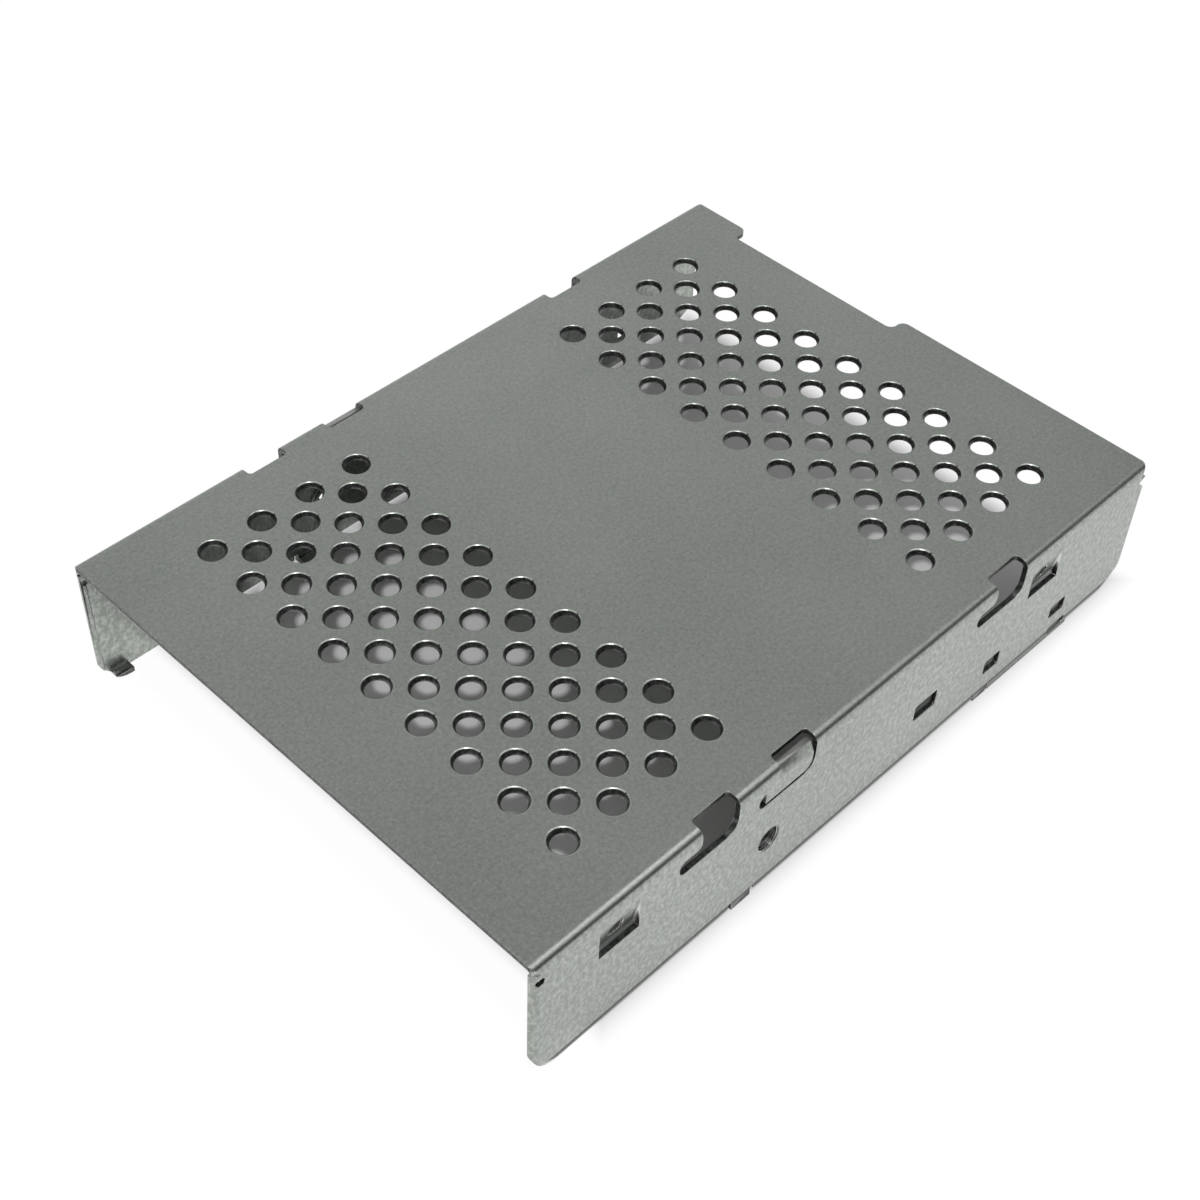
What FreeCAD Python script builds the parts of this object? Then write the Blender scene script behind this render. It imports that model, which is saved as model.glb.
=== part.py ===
import FreeCAD, Part
import math
import os
import re

import Sketcher
from FreeCAD import Placement, Rotation, Vector

# Server drive tray: one sheet of galvanised steel, punched and folded into a shallow channel.
# X runs from the open front end (minus) to the connector end (plus), Y across the tray, Z up.
# The plate is on top and the walls hang down, as the tray lies on a bench.
# The origin is at the middle of the footprint, on the surface that the tray rests on.

document = FreeCAD.newDocument("drive_tray")
sizes = document.addObject("Spreadsheet::Sheet", "sizes")

# Millimetres. "from_front" is measured from the front end, "below" from the plate's top face.
drivingSizes = {
    # the folded channel
    "tray_length": 146.2,
    "tray_width": 105.6,
    "tray_height": 28.1,
    "skin": 1.0,
    "bend_inside": 0.5,
    # vent field: two blocks of staggered round holes, which open out towards the top by a flare in degrees
    "vent_bore": 3.8,
    "vent_flare": 29,
    "vent_pitch": 10.0,
    "vent_columns": 4,
    "vent_rows": 9,
    "vent_from_front": 18.0,
    "vent_block_shift": 81.26,
    # recess in the plate's back edge, which clears the drive's connectors
    "recess_depth": 3.3,
    "recess_start": 1.1,
    "recess_end": 39.6,
    "recess_round": 1.5,
    # wall's lower edge
    "edge_rise": 1.0,
    "front_round": 5.0,
    "back_corner_run": 4.8,
    "back_corner_rise": 2.8,
    "back_corner_round": 2.0,
    "foot_from_front": 107.9,
    "foot_length": 23.1,
    "foot_bar": 0.9,
    "foot_slot_length": 4.9,
    "foot_slot_height": 1.6,
    "foot_slot_end": 0.9,
    # stop tabs folded in from the wall's lower edge
    "front_tab_from_front": 42.4,
    "front_tab_length": 4.3,
    "back_tab_length": 3.5,
    "tab_reach": 3.2,
    "tab_relief": 0.8,
    "tab_slit": 0.4,
    # front end: walls folded in, with a lip at the lower corner
    "flange_reach": 1.3,
    "flange_bend": 0.25,
    "corner_below": 1.9,
    "corner_slit": 0.15,
    "relief_from_front": 1.25,
    "relief_below": 3.9,
    "relief_diameter": 1.6,
    "lip_from_front": 1.5,
    "lip_length": 4.0,
    "lip_reach": 3.0,
    "corner_round": 1.3,
    # back end: relief under the trimmed bend
    "notch_below": 2.6,
    "notch_drop": 2.4,
    "notch_depth": 1.6,
    # hook slots through plate edge, bend and wall
    "hook_from_front": 33.4,
    "second_hook_shift": 17.15,
    "third_hook_shift": 70.15,
    "hook_width": 8.0,
    "hook_reach": 2.8,
    "hook_below": 6.7,
    "hook_round": 2.5,
    "leg_run": 4.6,
    "leg_height": 3.0,
    "leg_round": 1.4,
    "nose_round": 1.0,
    "mouth_round": 0.8,
    # spring tongue left standing in the middle slot
    "tongue_set": 0.9,
    "tongue_gap": 0.65,
    "tongue_root": 3.1,
    "tongue_below": 0.75,
    # formed pin pockets: a leaning pad, drawn in between two cheeks, with a pin for the drive's side hole
    "pin_from_front": 16.7,
    "pin_spacing": 101.6,
    "pin_below": 7.35,
    "pin_diameter": 2.8,
    "pin_reach": 1.52,
    "dimple_diameter": 3.3,
    "dimple_depth": 0.5,
    "pad_width": 8.2,
    "pad_top_below": 3.0,
    "pad_drop": 7.0,
    "pad_lean": 1.35,
    "pad_gap": 0.4,
    "pad_cheek": 0.7,
    # extruded screw hole
    "screw_from_front": 49.6,
    "screw_below": 16.7,
    "screw_bore": 4.8,
    "collar_wall": 0.5,
    "collar_reach": 0.8,
    # small windows, by their front lower corner
    "window_round": 0.4,
    "window_1_from_front": 85.4,
    "window_1_below": 18.3,
    "window_1_width": 5.7,
    "window_1_height": 3.4,
    "window_2_from_front": 105.2,
    "window_2_below": 22.3,
    "window_2_width": 4.2,
    "window_2_height": 3.0,
    "window_3_from_front": 124.2,
    "window_3_below": 22.4,
    "window_3_width": 4.3,
    "window_3_height": 2.7,
}

for row, (alias, value) in enumerate(drivingSizes.items(), start=1):
    sizes.set(f"A{row}", alias)
    sizes.set(f"B{row}", str(value))
    sizes.setAlias(f"B{row}", alias)
document.recompute()

# Places that many features are measured from
front = "-tray_length / 2"
back = "tray_length / 2"
outside = "-tray_width / 2"
top = "tray_height"
plateUnderside = "(tray_height - skin)"
wallEdge = "edge_rise"
overshoot = "2 * skin"
backTab = "(foot_from_front - tab_slit - back_tab_length)"


def number(text):
    return float(sizes.evalExpression(text))


def bound(text):
    # the same formula as other objects write it, with the sheet's name before each alias
    return re.sub(r"[a-z_][a-z_0-9]*", lambda word: "sizes." + word.group(), text)


def bind(target, prop, text):
    target.setExpression(prop, bound(text))


def attach(body, name, role, offset="0"):
    plane = next(item for item in body.Origin.OriginFeatures if item.Role == role)
    sketch = body.newObject("Sketcher::SketchObject", name)
    sketch.AttachmentSupport = (plane, [""])
    sketch.MapMode = "FlatFace"
    sketch.AttachmentOffset = Placement(Vector(0, 0, number(offset)), Rotation())
    bind(sketch, "AttachmentOffset.Base.z", offset)
    return sketch


def place(sketch, geometry, vertex, x, y):
    for kind, text in (("DistanceX", x), ("DistanceY", y)):
        index = sketch.addConstraint(
            Sketcher.Constraint(kind, -1, 1, geometry, vertex, number(text)))
        bind(sketch, f"Constraints[{index}]", text)


def addOutline(sketch, corners):
    # a closed outline; a corner is (x, y) or (x, y, radius), all of them formulas
    points = [Vector(number(corner[0]), number(corner[1]), 0) for corner in corners]
    count = len(points)
    arrive, leave, arcs = {}, {}, {}
    for i, corner in enumerate(corners):
        arrive[i] = leave[i] = points[i]
        if len(corner) < 3:
            continue
        radius = number(corner[2])
        before = (points[i - 1] - points[i]).normalize()
        after = (points[(i + 1) % count] - points[i]).normalize()
        half = before.getAngle(after) / 2
        arrive[i] = points[i] + before * (radius / math.tan(half))
        leave[i] = points[i] + after * (radius / math.tan(half))
        middle = points[i] + (before + after).normalize() * (radius / math.sin(half))
        counterclockwise = before.cross(after).z < 0
        start, end = (arrive[i], leave[i]) if counterclockwise else (leave[i], arrive[i])
        angles = [math.atan2((p - middle).y, (p - middle).x) for p in (start, end)]
        circle = Part.Circle(middle, Vector(0, 0, 1), radius)
        arc = sketch.addGeometry(Part.ArcOfCircle(circle, *angles))
        arcs[i] = (arc, (1, 2) if counterclockwise else (2, 1))
    lines = [sketch.addGeometry(Part.LineSegment(leave[i], arrive[(i + 1) % count]))
             for i in range(count)]
    for i, corner in enumerate(corners):
        if i not in arcs:
            sketch.addConstraint(Sketcher.Constraint("Coincident", lines[i - 1], 2, lines[i], 1))
            place(sketch, lines[i], 1, corner[0], corner[1])
            continue
        arc, (entry, exit) = arcs[i]
        sketch.addConstraint(Sketcher.Constraint("Tangent", lines[i - 1], 2, arc, entry))
        sketch.addConstraint(Sketcher.Constraint("Tangent", arc, exit, lines[i], 1))
        index = sketch.addConstraint(Sketcher.Constraint("Radius", arc, number(corner[2])))
        bind(sketch, f"Constraints[{index}]", corner[2])
        sharp = sketch.addGeometry(Part.Point(points[i]), True)
        sketch.addConstraint(Sketcher.Constraint("PointOnObject", sharp, 1, lines[i - 1]))
        sketch.addConstraint(Sketcher.Constraint("PointOnObject", sharp, 1, lines[i]))
        place(sketch, sharp, 1, corner[0], corner[1])


def addCircle(sketch, x, y, diameter):
    centre = Vector(number(x), number(y), 0)
    circle = sketch.addGeometry(Part.Circle(centre, Vector(0, 0, 1), number(diameter) / 2))
    place(sketch, circle, 3, x, y)
    index = sketch.addConstraint(Sketcher.Constraint("Diameter", circle, number(diameter)))
    bind(sketch, f"Constraints[{index}]", diameter)


def rectangle(left, right, low, high):
    return [(left, low), (right, low), (right, high), (left, high)]


def rounded(corners, radius):
    return [(x, y, radius) for x, y in corners]


def finish(body, feature):
    sketch = feature.Profile[0]
    document.recompute()
    for item in (sketch, feature):
        if "Invalid" in item.State or "Error" in item.State:
            raise RuntimeError(f"{item.Name}: {item.State}")
    body.Tip = feature
    return feature


def pad(body, sketch, name, length, reverse=False):
    before = 0.0 if body.Shape.isNull() else body.Shape.Volume
    feature = body.newObject("PartDesign::Pad", name)
    feature.Profile = sketch
    bind(feature, "Length", length)
    feature.Reversed = reverse
    feature.Refine = True
    finish(body, feature)
    if feature.Shape.Volume <= before:
        raise RuntimeError(f"{name} adds nothing")
    return feature


def pocket(body, sketch, name, length, reverse=False, taper=None):
    before = body.Shape.Volume
    feature = body.newObject("PartDesign::Pocket", name)
    feature.Profile = sketch
    bind(feature, "Length", length)
    if taper:
        bind(feature, "TaperAngle", taper)
    feature.Reversed = reverse
    feature.Refine = True
    finish(body, feature)
    if feature.Shape.Volume >= before:
        raise RuntimeError(f"{name} cuts nothing")
    return feature


def foldedChannel(body):
    # half of the folded section: plate, bend and wall, drawn as one strip of sheet
    sketch = attach(body, "channel_section", "YZ_Plane", front)
    bendOutside = "(bend_inside + skin)"
    addOutline(sketch, [
        ("0", top),
        (outside, top, bendOutside),
        (outside, "0"),
        (f"{outside} + skin", "0"),
        (f"{outside} + skin", plateUnderside, "bend_inside"),
        ("0", plateUnderside),
    ])
    pad(body, sketch, "channel", "tray_length")


def frontFlange(body):
    # the wall's front end is cleared for a tighter bend, which turns it in across the opening
    bendOutside = "(flange_bend + skin)"
    bendStart = f"{front} + {bendOutside}"
    clearTop = f"({top} - corner_below)"
    sketch = attach(body, "front_clearance", "XZ_Plane", f"-({outside})")
    addOutline(sketch, [
        (f"{front} - {overshoot}", clearTop),
        (bendStart, clearTop),
        (bendStart, f"-({overshoot})"),
        (f"{front} - {overshoot}", f"-({overshoot})"),
    ])
    pocket(body, sketch, "front_cut", "flange_reach")

    sketch = attach(body, "flange_section", "XY_Plane", wallEdge)
    addOutline(sketch, [
        (f"{bendStart} + skin", outside),
        (front, outside, bendOutside),
        (front, f"{outside} + flange_reach"),
        (f"{front} + skin", f"{outside} + flange_reach"),
        (f"{front} + skin", f"{outside} + skin", "flange_bend"),
        (f"{bendStart} + skin", f"{outside} + skin"),
    ])
    pad(body, sketch, "front_flange", f"{clearTop} - corner_slit - {wallEdge}")

    relief = attach(body, "relief_circle", "XZ_Plane", f"-({outside})")
    addCircle(relief, f"{front} + relief_from_front", f"{top} - relief_below", "relief_diameter")
    pocket(body, relief, "relief_hole", "flange_reach + skin")


def foldedTab(body, name, start, length, reach, underside):
    # a tab folded in from the wall's lower edge, with the same bend as the channel
    sketch = attach(body, name + "_section", "YZ_Plane", f"{front} + {start}")
    bendOutside = "(bend_inside + skin)"
    wallTop = f"{underside} + {bendOutside} + skin"
    addOutline(sketch, [
        (outside, wallTop),
        (outside, underside, bendOutside),
        (f"{outside} + {reach}", underside),
        (f"{outside} + {reach}", f"{underside} + skin"),
        (f"{outside} + skin", f"{underside} + skin", "bend_inside"),
        (f"{outside} + skin", wallTop),
    ])
    pad(body, sketch, name, length)


def wallOutline(body):
    # everything below and beyond the wall's side view is cut away in one pass
    tabStart = f"{front} + front_tab_from_front"
    tabEnd = f"{tabStart} + front_tab_length"
    backTabStart = f"{front} + {backTab}"
    footStart = f"{front} + foot_from_front"
    footEnd = f"{footStart} + foot_length"
    reliefTop = f"{wallEdge} + edge_rise"
    floor = f"-({overshoot})"
    sketch = attach(body, "wall_outline", "XZ_Plane", f"-({outside})")
    addOutline(sketch, [
        (f"{front} - {overshoot}", f"{wallEdge} + 2 * front_round"),
        (front, f"{wallEdge} + 2 * front_round"),
        (front, wallEdge, "front_round"),
        (f"{tabStart} - tab_relief", wallEdge),
        (f"{tabStart} - tab_relief", reliefTop),
        (tabStart, reliefTop),
        (tabStart, "0"),
        (tabEnd, "0"),
        (tabEnd, reliefTop),
        (f"{tabEnd} + tab_relief", reliefTop),
        (f"{tabEnd} + tab_relief", wallEdge),
        (f"{backTabStart} - tab_slit", wallEdge),
        (f"{backTabStart} - tab_slit", reliefTop),
        (backTabStart, reliefTop),
        (backTabStart, "0"),
        (f"{backTabStart} + back_tab_length", "0"),
        (f"{backTabStart} + back_tab_length", reliefTop),
        (footStart, reliefTop),
        (footStart, "0"),
        (footEnd, "0"),
        (footEnd, wallEdge),
        (f"{back} - back_corner_run", wallEdge),
        (back, f"{wallEdge} + back_corner_rise", "back_corner_round"),
        (back, f"{wallEdge} + 2 * front_round"),
        (f"{back} + {overshoot}", f"{wallEdge} + 2 * front_round"),
        (f"{back} + {overshoot}", floor),
        (f"{front} - {overshoot}", floor),
    ])
    pocket(body, sketch, "wall_edge_cut", "tray_width / 2")


def endTrims(body):
    # rounded plate corners, the relief beside the front flange and the one under the back bend
    beyond = f"{outside} - {overshoot}"
    cornerEnd = "(corner_round + skin)"
    sketch = attach(body, "front_corner", "XY_Plane", f"{top} + {overshoot}")
    addOutline(sketch, [
        (f"{front} - {overshoot}", beyond),
        (f"{front} + {cornerEnd}", beyond),
        (f"{front} + {cornerEnd}", outside),
        (front, outside, "corner_round"),
        (front, f"{outside} + {cornerEnd}"),
        (f"{front} - {overshoot}", f"{outside} + {cornerEnd}"),
    ])
    pocket(body, sketch, "front_corner_cut", f"corner_below + {overshoot}")

    sketch = attach(body, "back_corner", "XY_Plane", f"{top} + {overshoot}")
    addOutline(sketch, [
        (f"{back} + {overshoot}", beyond),
        (f"{back} + {overshoot}", f"{outside} + {cornerEnd}"),
        (back, f"{outside} + {cornerEnd}"),
        (back, outside, "corner_round"),
        (f"{back} - {cornerEnd}", outside),
        (f"{back} - {cornerEnd}", beyond),
    ])
    pocket(body, sketch, "back_corner_cut", f"notch_below + {overshoot}")

    sketch = attach(body, "back_relief", "XZ_Plane", f"-({outside})")
    addOutline(sketch, [
        (f"{back} + {overshoot}", f"{top} - notch_below"),
        (back, f"{top} - notch_below"),
        (f"{back} - notch_depth", f"{top} - notch_below - notch_drop / 3"),
        (back, f"{top} - notch_below - notch_drop"),
        (f"{back} + {overshoot}", f"{top} - notch_below - notch_drop"),
    ])
    pocket(body, sketch, "back_relief_cut", "skin + bend_inside")


hookShifts = ("0", "second_hook_shift", "third_hook_shift")


def hookSlots(body):
    # each slot opens the plate's edge and the bend, then turns forward along the wall
    mouthFloor = "(bend_inside + 2 * skin)"
    plan = attach(body, "hook_mouths", "XY_Plane", f"{top} + {overshoot}")
    side = attach(body, "hook_legs", "XZ_Plane", f"-({outside})")
    for shift in hookShifts:
        left = f"{front} + hook_from_front + {shift}"
        right = f"{left} + hook_width"
        inner = f"{outside} + hook_reach"
        addOutline(plan, [
            (left, f"{outside} - {overshoot}"),
            (right, f"{outside} - {overshoot}"),
            (right, inner, "mouth_round"),
            (left, inner, "mouth_round"),
        ])
        low = f"{top} - hook_below"
        legTop = f"{low} + leg_height"
        addOutline(side, [
            (right, f"{top} - bend_inside - skin"),
            (left, f"{top} - bend_inside - skin"),
            (left, legTop, "nose_round"),
            (f"{left} - leg_run", legTop, "leg_round"),
            (f"{left} - leg_run", low, "leg_round"),
            (right, low, "hook_round"),
        ])
    pocket(body, plan, "hook_mouth_cut", f"{mouthFloor} - skin + {overshoot}")
    pocket(body, side, "hook_leg_cut", "hook_reach")


def springTongue(body):
    # the middle slot keeps its wall as a tongue, joined at its front end, whose top leans inward
    left = f"{front} + hook_from_front + second_hook_shift"
    tip = f"{left} + hook_width - tongue_gap"
    low = f"{top} - hook_below + tongue_gap"
    leanStart = f"{top} - hook_below + leg_height + nose_round"
    face = attach(body, "tongue_face", "XZ_Plane", f"-({outside})")
    addOutline(face, [
        (f"{left} - tongue_root", low),
        (tip, low, "hook_round - tongue_gap"),
        (tip, leanStart),
        (f"{left} - tongue_root", leanStart),
    ])
    pad(body, face, "tongue", "skin", reverse=True)

    section = attach(body, "tongue_section", "YZ_Plane", left)
    addOutline(section, [
        (outside, leanStart),
        (f"{outside} + tongue_set", f"{top} - tongue_below"),
        (f"{outside} + tongue_set + skin", f"{top} - tongue_below"),
        (f"{outside} + skin", leanStart),
    ])
    pad(body, section, "tongue_top", "hook_width - tongue_gap")


def pinPockets(body):
    # a pad leans in like a louvre between two closed cheeks, free along its lower edge
    padTop = f"{top} - pad_top_below"
    padLow = f"{padTop} - pad_drop"
    through = f"{outside} + pad_lean + {overshoot}"
    for name, shift in (("front", "0"), ("back", "pin_spacing")):
        start = f"{front} + pin_from_front + {shift} - pad_width / 2"
        section = attach(body, name + "_pad_section", "YZ_Plane", f"{start} - pad_cheek")
        addOutline(section, [
            (outside, padTop),
            (f"{outside} + skin", padTop),
            (f"{outside} + pad_lean + skin", padLow),
            (outside, padLow),
        ])
        pad(body, section, name + "_pad", "pad_width + 2 * pad_cheek")

        mouth = attach(body, name + "_mouth_section", "YZ_Plane", start)
        addOutline(mouth, [
            (f"{outside} - {overshoot}", padTop),
            (outside, padTop),
            (f"{outside} + pad_lean", padLow),
            (through, padLow),
            (through, f"{padLow} - pad_gap"),
            (f"{outside} - {overshoot}", f"{padLow} - pad_gap"),
        ])
        pocket(body, mouth, name + "_mouth", "pad_width", reverse=True)

    padFace = f"({outside} + pad_lean * (pin_below - pad_top_below) / pad_drop)"
    pins = attach(body, "pin_circles", "XZ_Plane", f"-({padFace} + dimple_depth)")
    dimples = attach(body, "dimple_circles", "XZ_Plane", f"-({outside})")
    for shift in ("0", "pin_spacing"):
        middle = f"{front} + pin_from_front + {shift}"
        addCircle(pins, middle, f"{top} - pin_below", "pin_diameter")
        addCircle(dimples, middle, f"{top} - pin_below", "dimple_diameter")
    pad(body, pins, "pins", "skin - dimple_depth + pin_reach", reverse=True)
    pocket(body, dimples, "dimples", f"{padFace} - ({outside}) + dimple_depth")


def screwHole(body):
    # the hole's edge is drawn inward into a short collar, which carries the thread
    x = f"{front} + screw_from_front"
    z = f"{top} - screw_below"
    collar = attach(body, "collar_circle", "XZ_Plane", f"-({outside})")
    addCircle(collar, x, z, "screw_bore + 2 * collar_wall")
    pad(body, collar, "collar", "skin + collar_reach", reverse=True)
    bore = attach(body, "bore_circle", "XZ_Plane", f"-({outside})")
    addCircle(bore, x, z, "screw_bore")
    pocket(body, bore, "screw_bore_cut", "skin + collar_reach")


def windows(body):
    sketch = attach(body, "window_outlines", "XZ_Plane", f"-({outside})")
    for index in (1, 2, 3):
        name = f"window_{index}"
        left = f"{front} + {name}_from_front"
        low = f"{top} - {name}_below"
        corners = rectangle(left, f"{left} + {name}_width", low, f"{low} + {name}_height")
        addOutline(sketch, rounded(corners, "window_round"))
    slotEnd = f"{front} + foot_from_front + foot_length - foot_slot_end"
    corners = rectangle(f"{slotEnd} - foot_slot_length", slotEnd, "foot_bar", "foot_bar + foot_slot_height")
    addOutline(sketch, rounded(corners, "window_round"))
    pocket(body, sketch, "window_cut", "skin")


def otherHalf(body):
    mirror = body.newObject("PartDesign::Mirrored", "both_walls")
    plane = next(item for item in body.Origin.OriginFeatures if item.Role == "XZ_Plane")
    mirror.MirrorPlane = (plane, [""])
    mirror.TransformMode = "Whole shape"
    mirror.Refine = True
    body.Tip = mirror
    document.recompute()


def connectorRecess(body):
    deep = f"{back} - recess_depth"
    sketch = attach(body, "recess_outline", "XY_Plane", f"{top} + {overshoot}")
    addOutline(sketch, [
        (f"{back} + {overshoot}", "recess_start - 2 * recess_round"),
        (back, "recess_start - 2 * recess_round"),
        (back, "recess_start", "recess_round"),
        (deep, "recess_start", "recess_round"),
        (deep, "recess_end", "recess_round / 2"),
        (back, "recess_end", "recess_round"),
        (back, "recess_end + 2 * recess_round"),
        (f"{back} + {overshoot}", "recess_end + 2 * recess_round"),
    ])
    pocket(body, sketch, "recess_cut", f"skin + {overshoot}")


def patternAlong(body, name, role, length, occurrences):
    axis = next(item for item in body.Origin.OriginFeatures if item.Role == role)
    pattern = document.addObject("PartDesign::LinearPattern", name)
    pattern.Direction = (axis, [""])
    bind(pattern, "Length", length)
    bind(pattern, "Occurrences", occurrences)
    return pattern


def ventField(body):
    # a square lattice of holes, and a second one in its gaps, both repeated in the back block
    for name, inset, fewer in (("vents", "0", "0"), ("between_vents", "vent_pitch / 2", "1")):
        columns = f"vent_columns - {fewer}"
        rows = f"vent_rows - {fewer}"
        first = f"-vent_pitch * ({rows} - 1) / 2"
        sketch = attach(body, name + "_circle", "XY_Plane", f"{top} - skin")
        addCircle(sketch, f"{front} + vent_from_front + {inset}", first, "vent_bore")
        hole = pocket(body, sketch, name + "_hole", "skin", reverse=True, taper="vent_flare")
        field = body.newObject("PartDesign::MultiTransform", name)
        field.Originals = [hole]
        field.Transformations = [
            patternAlong(body, name + "_columns", "X_Axis",
                         f"vent_pitch * ({columns} - 1)", columns),
            patternAlong(body, name + "_rows", "Y_Axis", f"vent_pitch * ({rows} - 1)", rows),
            patternAlong(body, name + "_blocks", "X_Axis", "vent_block_shift", "2"),
        ]
        field.Refine = True
        body.Tip = field
        document.recompute()


body = document.addObject("PartDesign::Body", "drive_tray")
body.Label = "drive_tray"
foldedChannel(body)
frontFlange(body)
foldedTab(body, "front_lip", "lip_from_front", "lip_length", "lip_reach", wallEdge)
wallOutline(body)
foldedTab(body, "front_tab", "front_tab_from_front", "front_tab_length", "tab_reach", "0")
foldedTab(body, "back_tab", backTab, "back_tab_length", "tab_reach", "0")
endTrims(body)
hookSlots(body)
springTongue(body)
pinPockets(body)
screwHole(body)
windows(body)
otherHalf(body)
connectorRecess(body)
ventField(body)
body.Placement = Placement(Vector(0, 0, 0), Rotation())
document.recompute()

for item in document.Objects:
    if "Invalid" in item.State or "Error" in item.State:
        raise RuntimeError(f"{item.Name}: {item.State}")
if body.Shape.isNull() or not body.Shape.isValid() or len(body.Shape.Solids) != 1:
    raise RuntimeError("the tray is not one valid solid")

os.makedirs("parts", exist_ok=True)
body.Shape.exportStep(f"parts/{body.Label}.step")
box = body.Shape.BoundBox
print(f"{body.Label}: {box.XLength:.2f} x {box.YLength:.2f} x {box.ZLength:.2f} mm, "
      f"volume {body.Shape.Volume:.1f} mm3, {len(body.Shape.Faces)} faces")
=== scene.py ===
import math
import bpy
import bmesh
from mathutils import Matrix, Vector
from mathutils.bvhtree import BVHTree


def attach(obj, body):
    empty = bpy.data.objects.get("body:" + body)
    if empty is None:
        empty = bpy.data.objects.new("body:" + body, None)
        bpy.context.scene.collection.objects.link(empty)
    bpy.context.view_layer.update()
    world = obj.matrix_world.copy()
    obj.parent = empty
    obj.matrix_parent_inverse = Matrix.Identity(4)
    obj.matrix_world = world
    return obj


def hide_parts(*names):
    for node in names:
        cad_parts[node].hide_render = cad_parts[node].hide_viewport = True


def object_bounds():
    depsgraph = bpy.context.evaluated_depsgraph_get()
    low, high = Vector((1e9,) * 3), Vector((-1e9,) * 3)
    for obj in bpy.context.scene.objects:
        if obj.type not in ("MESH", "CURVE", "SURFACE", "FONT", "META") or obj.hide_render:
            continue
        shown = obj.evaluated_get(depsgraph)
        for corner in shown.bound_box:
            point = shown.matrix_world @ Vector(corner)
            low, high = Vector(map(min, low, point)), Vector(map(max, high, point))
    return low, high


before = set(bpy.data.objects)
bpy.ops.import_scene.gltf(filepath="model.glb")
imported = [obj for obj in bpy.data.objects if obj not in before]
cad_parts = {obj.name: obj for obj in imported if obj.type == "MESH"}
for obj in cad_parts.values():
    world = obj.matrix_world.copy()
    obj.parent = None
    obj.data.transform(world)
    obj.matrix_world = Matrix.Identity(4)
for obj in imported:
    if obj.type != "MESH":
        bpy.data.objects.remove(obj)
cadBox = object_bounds()
scene = bpy.context.scene
mm = 0.001


def makeMaterial(name):
    material = bpy.data.materials.new(name)
    material.use_nodes = True
    tree = material.node_tree
    tree.nodes.clear()
    return material, tree


def addNode(tree, kind, settings=None, inputs=None):
    # one node with its settings and its unlinked inputs; an input that is a socket gets a link
    node = tree.nodes.new(kind)
    for key, value in (settings or {}).items():
        setattr(node, key, value)
    for key, value in (inputs or {}).items():
        if isinstance(value, bpy.types.NodeSocket):
            tree.links.new(value, node.inputs[key])
        else:
            node.inputs[key].default_value = value
    return node


# camera, at the photo's station
view = {
    "position": (-173.8, -154.9, 248.9),
    "azimuth": 42.60,
    "elevation": 46.10,
    "roll": 2.76,
    "lens": 58.34,
    "sensorWidth": 36,
    "shiftX": -0.0042,
    "clip": (0.01, 10),
}


def makeCamera():
    azimuth, elevation, roll = (math.radians(view[k]) for k in ("azimuth", "elevation", "roll"))
    forward = Vector((math.cos(elevation) * math.cos(azimuth),
                      math.cos(elevation) * math.sin(azimuth), -math.sin(elevation)))
    level = Vector((math.sin(azimuth), -math.cos(azimuth), 0))
    upright = level.cross(forward)
    right = level * math.cos(roll) + upright * math.sin(roll)
    up = right.cross(forward)
    data = bpy.data.cameras.new("camera")
    data.sensor_width = view["sensorWidth"]
    data.lens = view["lens"]
    data.shift_x = view["shiftX"]
    data.clip_start, data.clip_end = view["clip"]
    camera = bpy.data.objects.new("camera", data)
    scene.collection.objects.link(camera)
    turn = Matrix((right, up, -forward)).transposed()
    camera.matrix_world = Matrix.Translation(Vector(view["position"]) * mm) @ turn.to_4x4()
    scene.camera = camera


makeCamera()
print("camera made")

# the tray itself: the folded sheet with its edges broken as punching leaves them
sheet = {
    "thickness": 1.0,
    "thicknessMargin": 0.2,
    "top": 28.1,
    "ventRollover": 0.30,
    "ventSteps": 3,
    "edgeBreak": 0.18,
    "edgeSteps": 2,
    "edgeSamples": 6,
    "sharpAngle": 30,
    "smoothAngle": 40,
    "ringRoundness": 0.02,
    "halfWidth": 52.8,
}

# zinc skin, and bare cut edges painted near black as shade, with a painted highlight on their rounded rims
zinc = {
    "base": (0.39, 0.415, 0.385),
    "pale": (0.49, 0.51, 0.48),
    "dark": (0.29, 0.31, 0.285),
    "roughness": (0.26, 0.36),
    "grainScale": 2600,
    "mottleScale": 1500,
    "cloudScale": 28,
    "mottleShare": 0.75,
    "cloudShare": 0.35,
    "grainShare": 0.70,
    "wallScale": (1250, 1250, 850),
    "wallShare": 2.2,
    # the grain's middle sits above the noise's own, which paints the walls a little darker as painted shade
    "wallGrainMiddleAndShade": 0.545,
    "wallFacing": (0.8, 0.3),
    "toneRange": (0.20, 0.80),
    "metallic": 0.9,
    "bumpStrength": 0.12,
    "bumpHeight": 0.06,
    # a painted shadow line along the walls' lower edge, and painted shade below it
    "paintedShadeLine": (1.55, 2.05),
    "paintedShadeSoftness": 0.15,
    "paintedShadeLineTone": 0.10,
    "paintedLowShadeTone": 0.55,
}
cut = {
    # the cut faces' near-black tones are painted shade, standing for the dark these faces mirror
    "base": (0.035, 0.037, 0.035),
    "pale": (0.17, 0.175, 0.17),
    "paintedRimHighlight": (0.75, 0.76, 0.74),
    "roughness": 0.40,
    "shearScale": 1500,
    "toneRange": (0.35, 0.75),
    "metallic": 0.9,
    "bumpStrength": 0.3,
    "bumpHeight": 0.05,
    "rimHighlightTurn": (0.985, 0.90),
}


def brokenEdge(tree):
    # the slight rounding that punching leaves on each edge
    bevel = addNode(tree, "ShaderNodeBevel", {"samples": sheet["edgeSamples"]}, {
        "Radius": sheet["edgeBreak"] * mm})
    return bevel.outputs["Normal"]


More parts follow.
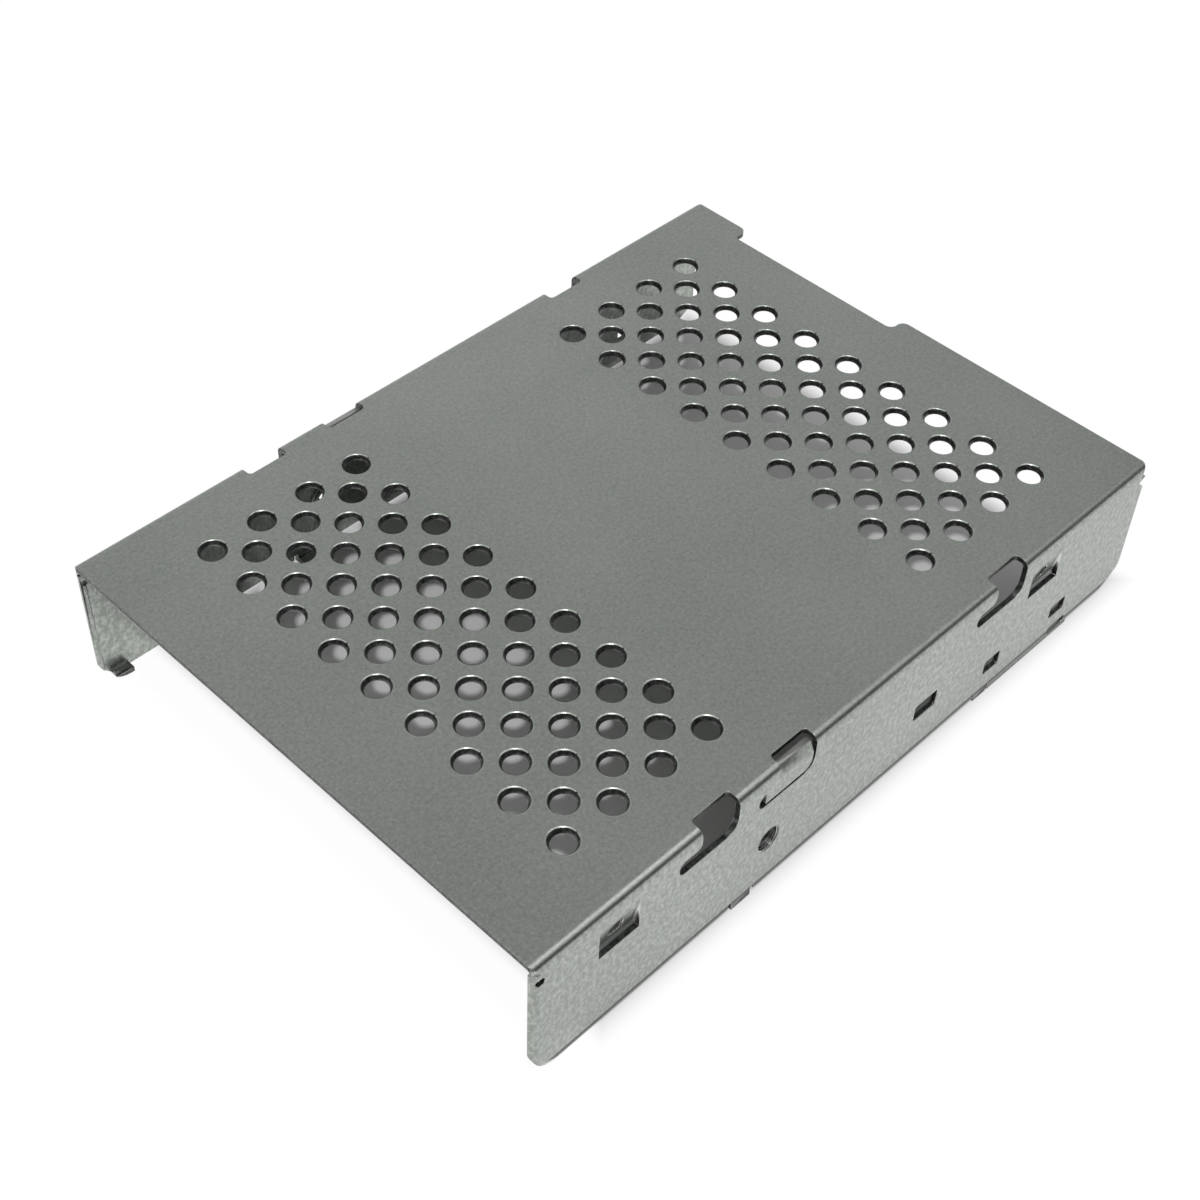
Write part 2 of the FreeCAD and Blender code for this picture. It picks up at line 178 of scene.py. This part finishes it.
def rimHighlightShare(tree):
    # 1 on the burnished rounding of an edge, which takes a pale painted highlight, 0 on the flat
    bevel = addNode(tree, "ShaderNodeBevel", {"samples": sheet["edgeSamples"]}, {
        "Radius": sheet["edgeBreak"] * mm})
    flat = addNode(tree, "ShaderNodeNewGeometry").outputs["True Normal"]
    along = addNode(tree, "ShaderNodeVectorMath", {"operation": "DOT_PRODUCT"}, {
        0: bevel.outputs["Normal"], 1: flat})
    share = addNode(tree, "ShaderNodeMapRange", inputs={
        "Value": along.outputs["Value"], "From Min": cut["rimHighlightTurn"][0],
        "From Max": cut["rimHighlightTurn"][1]})
    return share.outputs["Result"]


def mixColour(tree, share, first, second):
    mix = addNode(tree, "ShaderNodeMix", {"data_type": "RGBA"})
    for key, value in ((0, share), (6, first), (7, second)):
        if isinstance(value, bpy.types.NodeSocket):
            tree.links.new(value, mix.inputs[key])
        else:
            mix.inputs[key].default_value = (*value, 1)
    return mix.outputs[2]


def paintedLowerEdgeShade(tree, place):
    # painted shade: the wall's outer face is painted dark in a line above its lower edge as a painted shadow
    # line, and painted duller below that line as painted shade
    axes = addNode(tree, "ShaderNodeSeparateXYZ", inputs={0: place})
    low, high = (height * mm for height in zinc["paintedShadeLine"])
    soft = zinc["paintedShadeSoftness"] * mm
    above = addNode(tree, "ShaderNodeMapRange", {"interpolation_type": "SMOOTHSTEP"}, {
        "Value": axes.outputs["Z"], "From Min": high - soft, "From Max": high + soft,
        "To Min": zinc["paintedShadeLineTone"], "To Max": 1.0})
    below = addNode(tree, "ShaderNodeMapRange", {"interpolation_type": "SMOOTHSTEP"}, {
        "Value": axes.outputs["Z"], "From Min": low - soft, "From Max": low + soft,
        "To Min": zinc["paintedLowShadeTone"] - zinc["paintedShadeLineTone"], "To Max": 0.0})
    tone = addNode(tree, "ShaderNodeMath", {"operation": "ADD"}, {
        0: above.outputs["Result"], 1: below.outputs["Result"]})
    side = addNode(tree, "ShaderNodeMath", {"operation": "ABSOLUTE"}, {0: axes.outputs["Y"]})
    outer = addNode(tree, "ShaderNodeMath", {"operation": "GREATER_THAN"}, {
        0: side.outputs[0], 1: (sheet["halfWidth"] - 0.05) * mm})
    kept = addNode(tree, "ShaderNodeMix", {"data_type": "FLOAT"}, {
        0: outer.outputs[0], 2: 1.0, 3: tone.outputs[0]})
    return kept.outputs[0]


def wallGrainAndShade(tree, place):
    # the walls' stronger grain, centred a little below its middle so that it also paints the walls a little
    # darker than the top as painted shade; it fades out on the flat top
    stretched = addNode(tree, "ShaderNodeVectorMath", {"operation": "MULTIPLY"}, {
        0: place, 1: zinc["wallScale"]})
    streak = addNode(tree, "ShaderNodeTexNoise", inputs={
        "Vector": stretched.outputs["Vector"], "Scale": 1.0, "Detail": 4.0, "Roughness": 0.65})
    centred = addNode(tree, "ShaderNodeMath", {"operation": "SUBTRACT"}, {
        0: streak.outputs["Fac"], 1: zinc["wallGrainMiddleAndShade"]})
    facing = addNode(tree, "ShaderNodeNewGeometry").outputs["True Normal"]
    axes = addNode(tree, "ShaderNodeSeparateXYZ", inputs={0: facing})
    upright = addNode(tree, "ShaderNodeMapRange", inputs={
        "Value": axes.outputs["Z"], "From Min": zinc["wallFacing"][0],
        "From Max": zinc["wallFacing"][1]})
    return addNode(tree, "ShaderNodeMath", {"operation": "MULTIPLY"}, {
        0: centred.outputs[0], 1: upright.outputs["Result"]})


def zincMaterial():
    material, tree = makeMaterial("galvanisedSkin")
    place = addNode(tree, "ShaderNodeTexCoord").outputs["Object"]
    cloud = addNode(tree, "ShaderNodeTexNoise", inputs={
        "Vector": place, "Scale": zinc["cloudScale"], "Detail": 3.0, "Roughness": 0.55})
    mottle = addNode(tree, "ShaderNodeTexNoise", inputs={
        "Vector": place, "Scale": zinc["mottleScale"], "Detail": 4.0, "Roughness": 0.62})
    grain = addNode(tree, "ShaderNodeTexNoise", inputs={
        "Vector": place, "Scale": zinc["grainScale"], "Detail": 2.0, "Roughness": 0.7})
    spangle = addNode(tree, "ShaderNodeTexVoronoi", {"feature": "F1"}, {
        "Vector": place, "Scale": zinc["mottleScale"] * 0.9})
    tone = None
    for source, share in ((mottle, zinc["mottleShare"]), (cloud, zinc["cloudShare"]),
                          (grain, zinc["grainShare"]), (wallGrainAndShade(tree, place), zinc["wallShare"])):
        tone = addNode(tree, "ShaderNodeMath", {"operation": "MULTIPLY_ADD"}, {
            0: source.outputs[0], 1: share, 2: tone.outputs[0] if tone else 0.0})
    middleTone = (zinc["mottleShare"] + zinc["cloudShare"] + zinc["grainShare"]) / 2 - 0.5
    tone = addNode(tree, "ShaderNodeMath", {"operation": "SUBTRACT"}, {0: tone.outputs[0], 1: middleTone})
    ramp = addNode(tree, "ShaderNodeValToRGB", inputs={"Fac": tone.outputs[0]})
    ramp.color_ramp.elements[0].position = zinc["toneRange"][0]
    ramp.color_ramp.elements[0].color = (*zinc["dark"], 1)
    ramp.color_ramp.elements[1].position = zinc["toneRange"][1]
    ramp.color_ramp.elements[1].color = (*zinc["pale"], 1)
    middle = ramp.color_ramp.elements.new(0.5)
    middle.color = (*zinc["base"], 1)
    rough = addNode(tree, "ShaderNodeMapRange", inputs={
        "Value": mottle.outputs["Fac"], "To Min": zinc["roughness"][0], "To Max": zinc["roughness"][1]})
    relief = addNode(tree, "ShaderNodeMath", {"operation": "MULTIPLY_ADD"}, {
        0: spangle.outputs["Distance"], 1: 0.4, 2: grain.outputs["Fac"]})
    bump = addNode(tree, "ShaderNodeBump", inputs={
        "Height": relief.outputs[0], "Strength": zinc["bumpStrength"],
        "Distance": zinc["bumpHeight"] * mm,
        "Normal": brokenEdge(tree)})
    # painted shade along the walls' lower edge darkens the skin colour here
    lowEdgeShade = paintedLowerEdgeShade(tree, place)
    shade = addNode(tree, "ShaderNodeVectorMath", {"operation": "SCALE"}, {
        0: ramp.outputs["Color"], "Scale": lowEdgeShade})
    shader = addNode(tree, "ShaderNodeBsdfPrincipled", inputs={
        "Base Color": shade.outputs["Vector"], "Roughness": rough.outputs["Result"],
        "Metallic": zinc["metallic"], "Normal": bump.outputs["Normal"]})
    addNode(tree, "ShaderNodeOutputMaterial", inputs={"Surface": shader.outputs[0]})
    return material


def shadedCutMaterial():
    material, tree = makeMaterial("shadedCutEdge")
    place = addNode(tree, "ShaderNodeTexCoord").outputs["Object"]
    shear = addNode(tree, "ShaderNodeTexNoise", inputs={
        "Vector": place, "Scale": cut["shearScale"], "Detail": 3.0, "Roughness": 0.6})
    ramp = addNode(tree, "ShaderNodeValToRGB", inputs={"Fac": shear.outputs["Fac"]})
    ramp.color_ramp.elements[0].position = cut["toneRange"][0]
    ramp.color_ramp.elements[0].color = (*cut["base"], 1)
    ramp.color_ramp.elements[1].position = cut["toneRange"][1]
    ramp.color_ramp.elements[1].color = (*cut["pale"], 1)
    bump = addNode(tree, "ShaderNodeBump", inputs={
        "Height": shear.outputs["Fac"], "Strength": cut["bumpStrength"],
        "Distance": cut["bumpHeight"] * mm,
        "Normal": brokenEdge(tree)})
    # a pale painted highlight on each cut edge's rounding, over the cut face's painted-dark shade
    tone = mixColour(tree, rimHighlightShare(tree), ramp.outputs["Color"], cut["paintedRimHighlight"])
    shader = addNode(tree, "ShaderNodeBsdfPrincipled", inputs={
        "Base Color": tone, "Roughness": cut["roughness"],
        "Metallic": cut["metallic"], "Normal": bump.outputs["Normal"]})
    addNode(tree, "ShaderNodeOutputMaterial", inputs={"Surface": shader.outputs[0]})
    return material


zincSkin = zincMaterial()
shadedCutEdge = shadedCutMaterial()
print("materials made")


def makeSheet():
    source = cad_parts["drive_tray"]
    mesh = bmesh.new()
    mesh.from_mesh(source.data)
    bmesh.ops.remove_doubles(mesh, verts=mesh.verts, dist=0.002 * mm)
    markCutFaces(mesh)
    bmesh.ops.dissolve_limit(mesh, angle_limit=math.radians(0.5), verts=mesh.verts,
                             edges=mesh.edges, delimit={"MATERIAL"})
    ventRims, otherRims = findRims(mesh)
    roundEdges(mesh, ventRims, sheet["ventRollover"], sheet["ventSteps"])
    roundEdges(mesh, otherRims, sheet["edgeBreak"], sheet["edgeSteps"])
    data = bpy.data.meshes.new("driveTraySheet")
    mesh.to_mesh(data)
    mesh.free()
    data.materials.append(zincSkin)
    data.materials.append(shadedCutEdge)
    data.shade_smooth()
    data.set_sharp_from_angle(angle=math.radians(sheet["smoothAngle"]))
    tray = bpy.data.objects.new("driveTraySheet", data)
    scene.collection.objects.link(tray)
    flattenShading(tray)
    return tray


def flattenShading(tray):
    # normals follow the largest face at each corner, so flat sheet stays flat beside its rounded edges
    weighting = tray.modifiers.new("weighting", "WEIGHTED_NORMAL")
    weighting.mode = "FACE_AREA"
    weighting.weight = 90
    weighting.keep_sharp = True
    finished = bpy.data.meshes.new_from_object(tray.evaluated_get(bpy.context.evaluated_depsgraph_get()))
    tray.modifiers.remove(weighting)
    tray.data = finished
    finished.name = "driveTraySheet"


def markCutFaces(mesh):
    # the sheet's own faces have its thickness behind them, and cut faces have more metal there
    tree = BVHTree.FromBMesh(mesh)
    for face in mesh.faces:
        centre = face.calc_center_median()
        inward = -face.normal
        hit = tree.ray_cast(centre + inward * 0.01 * mm, inward)
        depth = hit[3] if hit[0] else 1.0
        skinFace = abs(depth - sheet["thickness"] * mm) < sheet["thicknessMargin"] * mm
        face.material_index = 0 if skinFace else 1


def findRims(mesh):
    # closed flat rings of sharp edges: the vents' upper rims, and the edges of the other openings
    limit = math.radians(sheet["sharpAngle"])
    sharp = {edge for edge in mesh.edges if edge.calc_face_angle() > limit}
    vents, others = [], []
    while sharp:
        ring = []
        waiting = [sharp.pop()]
        while waiting:
            edge = waiting.pop()
            ring.append(edge)
            for corner in edge.verts:
                for beside in corner.link_edges:
                    if beside in sharp:
                        sharp.remove(beside)
                        waiting.append(beside)
        corners = {corner for edge in ring for corner in edge.verts}
        if len(corners) != len(ring) or len(ring) < 12:
            continue
        centre = sum((corner.co for corner in corners), Vector()) / len(corners)
        radii = [(corner.co - centre).length for corner in corners]
        isRound = max(radii) - min(radii) < sheet["ringRoundness"] * max(radii)
        isHigh = abs(centre.z - sheet["top"] * mm) < 0.01 * mm
        spans = [max(corner.co[k] for corner in corners) - min(corner.co[k] for corner in corners)
                 for k in range(3)]
        if min(spans) > 0.01 * mm:
            continue
        (vents if isRound and isHigh else others).extend(ring)
    print("rims found:", len(vents), "vent edges,", len(others), "other edges")
    return vents, others


def roundEdges(mesh, edges, offset, steps):
    bmesh.ops.bevel(mesh, geom=[edge for edge in edges if edge.is_valid], offset=offset * mm,
                    offset_type="OFFSET", segments=steps, profile=0.5, affect="EDGES",
                    clamp_overlap=False, material=-1)


# the thread in each screw hole; its place is along the tray and up from the floor
thread = {
    "place": (-23.5, 11.4),
    "radius": 2.42,
    "pitch": 0.55,
    "turns": 2.6,
    "depth": 0.26,
    "ridgeSides": 4,
    "inset": 0.95,
    "stepsPerTurn": 40,
}


def threadGroup():
    # a V ridge wound on a helix along Z, centred on the origin
    group = bpy.data.node_groups.new("screwThread", "GeometryNodeTree")
    group.interface.new_socket("Geometry", in_out="INPUT", socket_type="NodeSocketGeometry")
    for name in ("Bore radius", "Pitch", "Turns", "Ridge depth"):
        group.interface.new_socket(name, in_out="INPUT", socket_type="NodeSocketFloat")
    group.interface.new_socket("Geometry", in_out="OUTPUT", socket_type="NodeSocketGeometry")
    given = addNode(group, "NodeGroupInput")
    height = addNode(group, "ShaderNodeMath", {"operation": "MULTIPLY"}, {
        0: given.outputs["Pitch"], 1: given.outputs["Turns"]})
    helix = addNode(group, "GeometryNodeCurveSpiral", inputs={
        "Resolution": thread["stepsPerTurn"], "Rotations": given.outputs["Turns"],
        "Start Radius": given.outputs["Bore radius"], "End Radius": given.outputs["Bore radius"],
        "Height": height.outputs[0]})
    ridge = addNode(group, "GeometryNodeCurvePrimitiveCircle", inputs={
        "Resolution": thread["ridgeSides"], "Radius": given.outputs["Ridge depth"]})
    swept = addNode(group, "GeometryNodeCurveToMesh", inputs={
        "Curve": helix.outputs["Curve"], "Profile Curve": ridge.outputs["Curve"], "Fill Caps": True})
    drop = addNode(group, "ShaderNodeMath", {"operation": "MULTIPLY"}, {0: height.outputs[0], 1: -0.5})
    shift = addNode(group, "ShaderNodeCombineXYZ", inputs={"Z": drop.outputs[0]})
    centred = addNode(group, "GeometryNodeTransform", inputs={
        "Geometry": swept.outputs["Mesh"], "Translation": shift.outputs[0]})
    real = addNode(group, "GeometryNodeRealizeInstances", inputs={"Geometry": centred.outputs[0]})
    painted = addNode(group, "GeometryNodeSetMaterial", inputs={
        "Geometry": real.outputs[0], "Material": shadedCutEdge})
    addNode(group, "NodeGroupOutput", inputs={0: painted.outputs[0]})
    return group


def makeThread():
    helper = bpy.data.objects.new("threadHelper", bpy.data.meshes.new("threadHelper"))
    scene.collection.objects.link(helper)
    group = threadGroup()
    live = helper.modifiers.new("thread", "NODES")
    live.node_group = group
    values = {"Bore radius": thread["radius"] * mm, "Pitch": thread["pitch"] * mm,
              "Turns": thread["turns"], "Ridge depth": thread["depth"] * mm}
    for socket in group.interface.items_tree:
        if socket.in_out == "INPUT" and socket.name in values:
            live[socket.identifier] = values[socket.name]
    plain = bpy.data.meshes.new_from_object(helper.evaluated_get(bpy.context.evaluated_depsgraph_get()))
    bpy.data.objects.remove(helper)
    return plain


def addThreads(tray):
    # one thread in each wall's screw hole, joined to the sheet's own mesh
    plain = makeThread()
    mesh = bmesh.new()
    mesh.from_mesh(tray.data)
    for side in (-1, 1):
        count = len(mesh.verts), len(mesh.faces)
        mesh.from_mesh(plain)
        mesh.verts.ensure_lookup_table()
        mesh.faces.ensure_lookup_table()
        depth = (sheet["halfWidth"] - thread["inset"]) * side
        spot = Vector((thread["place"][0], depth, thread["place"][1])) * mm
        turn = Matrix.Translation(spot) @ Matrix.Rotation(math.pi / 2, 4, "X")
        bmesh.ops.transform(mesh, matrix=turn, verts=mesh.verts[count[0]:])
        for face in mesh.faces[count[1]:]:
            face.material_index = 1
            face.smooth = False
    mesh.to_mesh(tray.data)
    mesh.free()


tray = makeSheet()
addThreads(tray)
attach(tray, "root")
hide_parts("drive_tray")
print("sheet made:", len(tray.data.polygons), "faces")

# floor, world and lamps
studio = {
    "floorSize": 3.0,
    "floorColour": 0.82,
    "seenColour": 0.04,
    "floorLift": 0.975,
    "liftMargin": 0.004,
    "frontView": 0.014,
    "skyLevels": ((0.0, 0.35), (0.35, 0.60), (0.60, 0.62), (0.72, 0.50), (0.85, 0.29), (1.0, 0.20)),
    "skyDark": 0.05,
    "skyAxis": (0.51, 0.47, 0.72),
    "skyEdge": (0.20, 0.72),
    "sideFall": (0.0, 0.30, 0.74),
    "overheadFront": (0.34, 0.20),
    "overheadBack": (-0.50, -0.30),
    "overheadLow": (0.60, 0.72),
    "overheadLevel": 1.05,
    "keyLevel": 800.0,
    "keyPlace": (-0.275, -0.313, 1.0),
    "keySize": (0.04, 0.04),
    "stripLevel": 2.2,
    "stripHeight": 0.55,
    "stripSize": (0.34, 0.06),
    "stripPlace": (0.24, -0.12),
    "stripAim": (0, -0.05, 0),
}


def makeFloor():
    # one pale colour all over; the camera, and what mirrors or passes its view, sees it lifted to white
    # outside the tray's footprint and under the tray's front end, where the view looks past the plate
    material, tree = makeMaterial("paleFloor")
    place = addNode(tree, "ShaderNodeTexCoord").outputs["Object"]
    axes = addNode(tree, "ShaderNodeSeparateXYZ", inputs={0: place})
    low = (cadBox[0].x + studio["frontView"], cadBox[0].y)
    high = (cadBox[1].x, cadBox[1].y)
    beyond = []
    for axis in range(2):
        size = addNode(tree, "ShaderNodeMath", {"operation": "SUBTRACT"}, {
            0: axes.outputs[axis], 1: (low[axis] + high[axis]) / 2})
        size = addNode(tree, "ShaderNodeMath", {"operation": "ABSOLUTE"}, {0: size.outputs[0]})
        beyond.append(addNode(tree, "ShaderNodeMath", {"operation": "SUBTRACT"}, {
            0: size.outputs[0], 1: (high[axis] - low[axis]) / 2}))
    outside = addNode(tree, "ShaderNodeMath", {"operation": "MAXIMUM"}, {
        0: beyond[0].outputs[0], 1: beyond[1].outputs[0]})
    clear = addNode(tree, "ShaderNodeMapRange", {"interpolation_type": "SMOOTHSTEP"}, {
        "Value": outside.outputs[0], "From Min": -studio["liftMargin"],
        "From Max": studio["liftMargin"]})
    light = addNode(tree, "ShaderNodeLightPath")
    seen = addNode(tree, "ShaderNodeMath", {"operation": "MAXIMUM"}, {
        0: light.outputs["Is Camera Ray"], 1: light.outputs["Is Glossy Ray"]})
    seen = addNode(tree, "ShaderNodeMath", {"operation": "MAXIMUM"}, {
        0: seen.outputs[0], 1: light.outputs["Is Transmission Ray"]})
    share = addNode(tree, "ShaderNodeMath", {"operation": "MULTIPLY"}, {
        0: seen.outputs[0], 1: clear.outputs[0]})
    paint = addNode(tree, "ShaderNodeBsdfDiffuse", inputs={
        "Color": (*[studio["floorColour"]] * 3, 1)})
    seenPaint = addNode(tree, "ShaderNodeBsdfDiffuse", inputs={
        "Color": (*[studio["seenColour"]] * 3, 1)})
    glow = addNode(tree, "ShaderNodeEmission", inputs={
        "Color": (1, 1, 1, 1), "Strength": studio["floorLift"]})
    shown = addNode(tree, "ShaderNodeAddShader", inputs={0: seenPaint.outputs[0], 1: glow.outputs[0]})
    both = addNode(tree, "ShaderNodeMixShader", inputs={
        0: share.outputs[0], 1: paint.outputs[0], 2: shown.outputs[0]})
    addNode(tree, "ShaderNodeOutputMaterial", inputs={"Surface": both.outputs[0]})
    half = studio["floorSize"] / 2
    data = bpy.data.meshes.new("floor")
    data.from_pydata([(-half, -half, 0), (half, -half, 0), (half, half, 0), (-half, half, 0)], [],
                     [(0, 1, 2, 3)])
    data.materials.append(material)
    floor = bpy.data.objects.new("floor", data)
    floor.location.z = cadBox[0].z
    scene.collection.objects.link(floor)


def makeWorld():
    world = bpy.data.worlds.new("studio")
    world.use_nodes = True
    tree = world.node_tree
    tree.nodes.clear()
    path = addNode(tree, "ShaderNodeLightPath")
    seen = addNode(tree, "ShaderNodeMath", {"operation": "MAXIMUM"}, {
        0: path.outputs["Is Camera Ray"], 1: path.outputs["Is Transmission Ray"]})
    direction = addNode(tree, "ShaderNodeTexCoord").outputs["Generated"]
    axes = addNode(tree, "ShaderNodeSeparateXYZ", inputs={0: direction})
    ramp = addNode(tree, "ShaderNodeValToRGB", inputs={"Fac": axes.outputs["Z"]})
    stops = ramp.color_ramp.elements
    while len(stops) < len(studio["skyLevels"]):
        stops.new(0.5)
    for stop, (height, value) in zip(stops, studio["skyLevels"]):
        stop.position = height
        stop.color = (value, value, value, 1)
    toward = addNode(tree, "ShaderNodeVectorMath", {"operation": "DOT_PRODUCT"}, {
        0: direction, 1: studio["skyAxis"]})
    lit = addNode(tree, "ShaderNodeMapRange", {"interpolation_type": "SMOOTHSTEP"}, {
        "Value": toward.outputs["Value"], "From Min": studio["skyEdge"][0],
        "From Max": studio["skyEdge"][1]})
    light = addNode(tree, "ShaderNodeMix", {"data_type": "FLOAT"}, {
        0: lit.outputs["Result"], 2: studio["skyDark"], 3: ramp.outputs["Color"]})
    # the sky falls off a little towards the view's right
    azimuth = math.radians(view["azimuth"])
    ahead = (math.cos(azimuth), math.sin(azimuth), 0)
    rightward = (math.sin(azimuth), -math.cos(azimuth), 0)
    sideways = addNode(tree, "ShaderNodeVectorMath", {"operation": "DOT_PRODUCT"}, {
        0: direction, 1: rightward})
    fall = addNode(tree, "ShaderNodeMapRange", inputs={
        "Value": sideways.outputs["Value"], "From Min": studio["sideFall"][0],
        "From Max": studio["sideFall"][1], "To Min": 1.0, "To Max": studio["sideFall"][2]})
    light = addNode(tree, "ShaderNodeMath", {"operation": "MULTIPLY"}, {
        0: light.outputs[0], 1: fall.outputs["Result"]})
    # a broad soft light overhead, which from the photo's place the rounded rims show and the flat top doesn't
    forward = addNode(tree, "ShaderNodeVectorMath", {"operation": "DOT_PRODUCT"}, {
        0: direction, 1: ahead})
    overhead = None
    for source, edges in ((forward.outputs["Value"], studio["overheadFront"]),
                          (forward.outputs["Value"], studio["overheadBack"]),
                          (axes.outputs["Z"], studio["overheadLow"])):
        edge = addNode(tree, "ShaderNodeMapRange", {"interpolation_type": "SMOOTHSTEP"}, {
            "Value": source, "From Min": edges[0], "From Max": edges[1]})
        overhead = addNode(tree, "ShaderNodeMath", {"operation": "MULTIPLY"}, {
            0: edge.outputs["Result"], 1: overhead.outputs[0] if overhead else 1.0})
    light = addNode(tree, "ShaderNodeMix", {"data_type": "FLOAT"}, {
        0: overhead.outputs[0], 2: light.outputs[0], 3: studio["overheadLevel"]})
    level = addNode(tree, "ShaderNodeMix", {"data_type": "FLOAT"}, {
        0: seen.outputs[0], 2: light.outputs[0], 3: 1.0})
    sky = addNode(tree, "ShaderNodeBackground", inputs={
        "Color": (1, 1, 1, 1), "Strength": level.outputs[0]})
    addNode(tree, "ShaderNodeOutputWorld", inputs={"Surface": sky.outputs[0]})
    scene.world = world


def addLamp(name, place, aim, size, level):
    # an area lamp whose face has the given radiance
    data = bpy.data.lights.new(name, "AREA")
    data.shape = "RECTANGLE"
    data.size, data.size_y = size
    data.energy = level * size[0] * size[1] * math.pi
    lamp = bpy.data.objects.new(name, data)
    lamp.location = place
    lamp.rotation_euler = (Vector(aim) - Vector(place)).to_track_quat("-Z", "Y").to_euler()
    scene.collection.objects.link(lamp)


makeFloor()
makeWorld()
addLamp("keyLamp", studio["keyPlace"], (0, 0, 0), studio["keySize"], studio["keyLevel"])
addLamp("stripLamp", (*studio["stripPlace"], studio["stripHeight"]),
        studio["stripAim"], studio["stripSize"], studio["stripLevel"])
scene.view_settings.view_transform = "Standard"
print("studio made")
